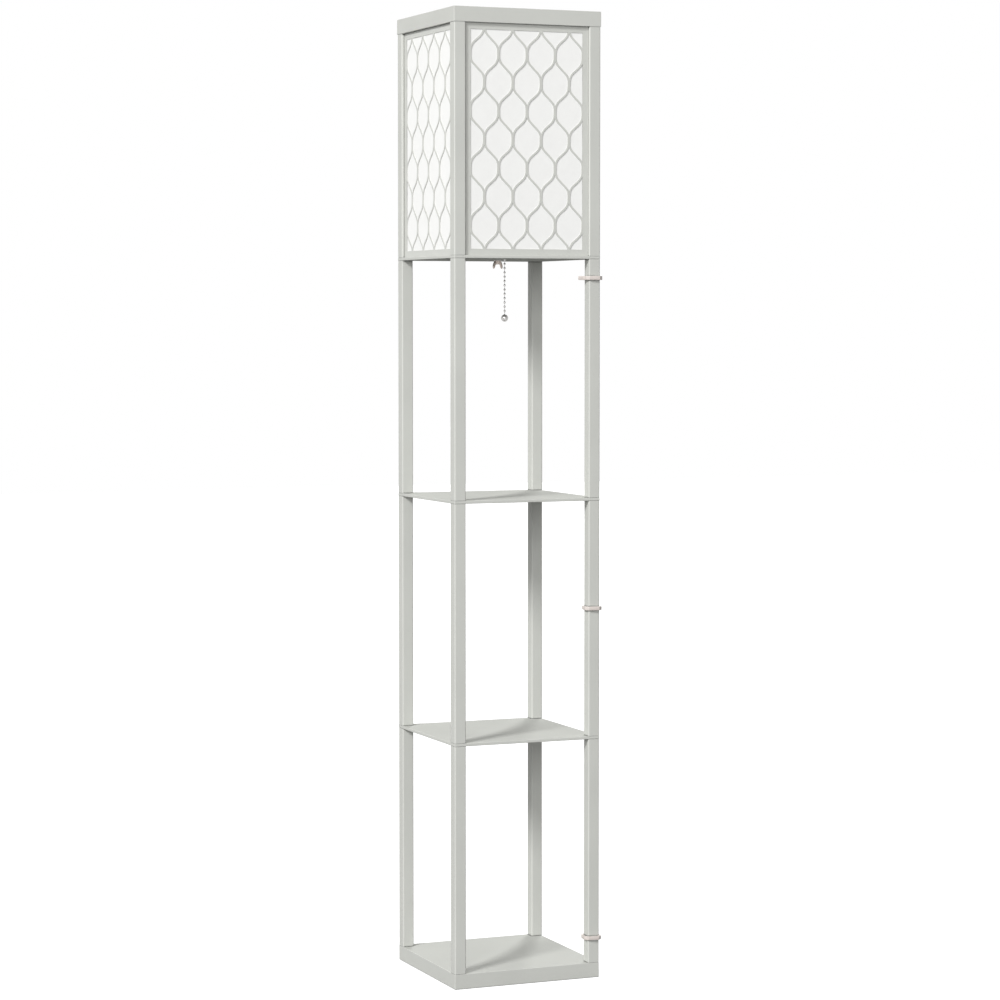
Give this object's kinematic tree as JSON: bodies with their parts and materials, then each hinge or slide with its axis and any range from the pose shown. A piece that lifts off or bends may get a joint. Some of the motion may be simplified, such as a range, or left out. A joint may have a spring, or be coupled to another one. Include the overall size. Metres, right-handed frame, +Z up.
{
  "type": "shelf floor lamp",
  "caption": "Tall square floor lamp on four slim posts with open shelves, a lattice shade open at the top, a pull chain switch and cord clips.",
  "frame": {"origin": "middle of the base board's underside, on the floor", "axes": "+Z up; -Y is the front, the side the chain hangs on; +X to the right, the side of the post with the cord clips"},
  "size_m": [0.2651, 0.2651, 1.6],
  "materials": {
    "grey_board": "smooth foil, warm light grey",
    "grey_post": "smooth foil, warm light grey",
    "grey_lattice": "satin paint, warm light grey",
    "white_sheet": "matt, lets light through",
    "steel_rod": "zinc plated",
    "zinc_steel": "zinc plated",
    "wing_metal": "cast, dulled",
    "holder_plastic": "moulded, satin",
    "switch_plastic": "moulded, brown",
    "contact_brass": "rolled",
    "sleeve_metal": "rolled",
    "nickel": "nickel plated",
    "pin_steel": "bright",
    "cord_rubber": "soft, pale grey",
    "clip_plastic": "moulded, off-white"
  },
  "bodies": {
    "frame": {"base_board": "grey_board", "lower_shelf": "grey_board", "middle_shelf": "grey_board", "lamp_plate": "grey_board", "cap_frame": "grey_board", "lower_post_front_left": "grey_post", "lower_post_front_right": "grey_post", "lower_post_back_right": "grey_post", "lower_post_back_left": "grey_post", "middle_post_front_left": "grey_post", "middle_post_front_right": "grey_post", "middle_post_back_right": "grey_post", "middle_post_back_left": "grey_post", "upper_post_front_left": "grey_post", "upper_post_front_right": "grey_post", "upper_post_back_right": "grey_post", "upper_post_back_left": "grey_post", "shade_post_front_left": "grey_post", "shade_post_front_right": "grey_post", "shade_post_back_right": "grey_post", "shade_post_back_left": "grey_post", "lattice_panel_front": "grey_lattice", "lattice_panel_right": "grey_lattice", "lattice_panel_back": "grey_lattice", "lattice_panel_left": "grey_lattice", "diffuser_front": "white_sheet", "diffuser_right": "white_sheet", "diffuser_back": "white_sheet", "diffuser_left": "white_sheet", "base_bolts": "steel_rod", "lower_shelf_rods": "steel_rod", "middle_shelf_rods": "steel_rod", "lamp_plate_rods": "steel_rod", "cap_screws": "steel_rod", "holder_stud": "zinc_steel", "plate_washer": "zinc_steel", "plate_ferrule": "zinc_steel", "wing_nut": "wing_metal", "holder_cup": "holder_plastic", "holder_shell": "holder_plastic", "switch_block": "switch_plastic", "contact_strip": "contact_brass", "centre_contact": "contact_brass", "screw_sleeve": "sleeve_metal", "chain_guide": "nickel", "pivot_pin": "pin_steel", "return_spring": "pin_steel", "cord_grommet": "cord_rubber"},
    "chain_top": {"chain_upper": "nickel"},
    "chain_inner": {"chain_in_holder": "nickel"},
    "lever": {"switch_lever": "switch_plastic", "switch_cam": "switch_plastic"},
    "chain_mid": {"chain_middle": "nickel"},
    "chain_end": {"chain_lower": "nickel", "pull_ball": "nickel"},
    "clip_low": {"cord_clip_lower": "clip_plastic"},
    "clip_mid": {"cord_clip_middle": "clip_plastic"},
    "clip_up": {"cord_clip_upper": "clip_plastic"}
  },
  "joints": [
    {"name": "chain_pull", "type": "slide", "parent": "frame", "child": "chain_top", "axis": [0, 0, -1], "range_m": [0, 0.008], "stiffness_N_per_m": 500},
    {"name": "inner_chain_slide", "type": "slide", "parent": "frame", "child": "chain_inner", "axis": [0, -1, 0], "range_m": [0, 0.008], "deforming": ["return_spring"]},
    {"name": "lever_turn", "type": "hinge", "parent": "frame", "child": "lever", "pos_m": [0, 0, 1.226], "axis": [-1, 0, 0], "range_deg": [0, 27.6]},
    {"name": "chain_swing_front", "type": "hinge", "parent": "chain_top", "child": "chain_mid", "pos_m": [0, -0.03, 1.17715], "axis": [1, 0, 0], "range_deg": [-40, 40]},
    {"name": "chain_swing_side", "type": "hinge", "parent": "chain_mid", "child": "chain_end", "pos_m": [0, -0.03, 1.14875], "axis": [0, 1, 0], "range_deg": [-40, 40]},
    {"name": "lower_clip_slide", "type": "slide", "parent": "frame", "child": "clip_low", "axis": [0, 0, 1], "range_m": [-0.035, 0.325]},
    {"name": "middle_clip_slide", "type": "slide", "parent": "frame", "child": "clip_mid", "axis": [0, 0, 1], "range_m": [-0.2, 0.17]},
    {"name": "upper_clip_slide", "type": "slide", "parent": "frame", "child": "clip_up", "axis": [0, 0, 1], "range_m": [-0.35, 0.024]}
  ],
  "couplings": [
    {"joint": "inner_chain_slide", "follows": "chain_pull", "ratio": 1},
    {"joint": "lever_turn", "follows": "chain_pull", "rad_per_m": 60}
  ]
}
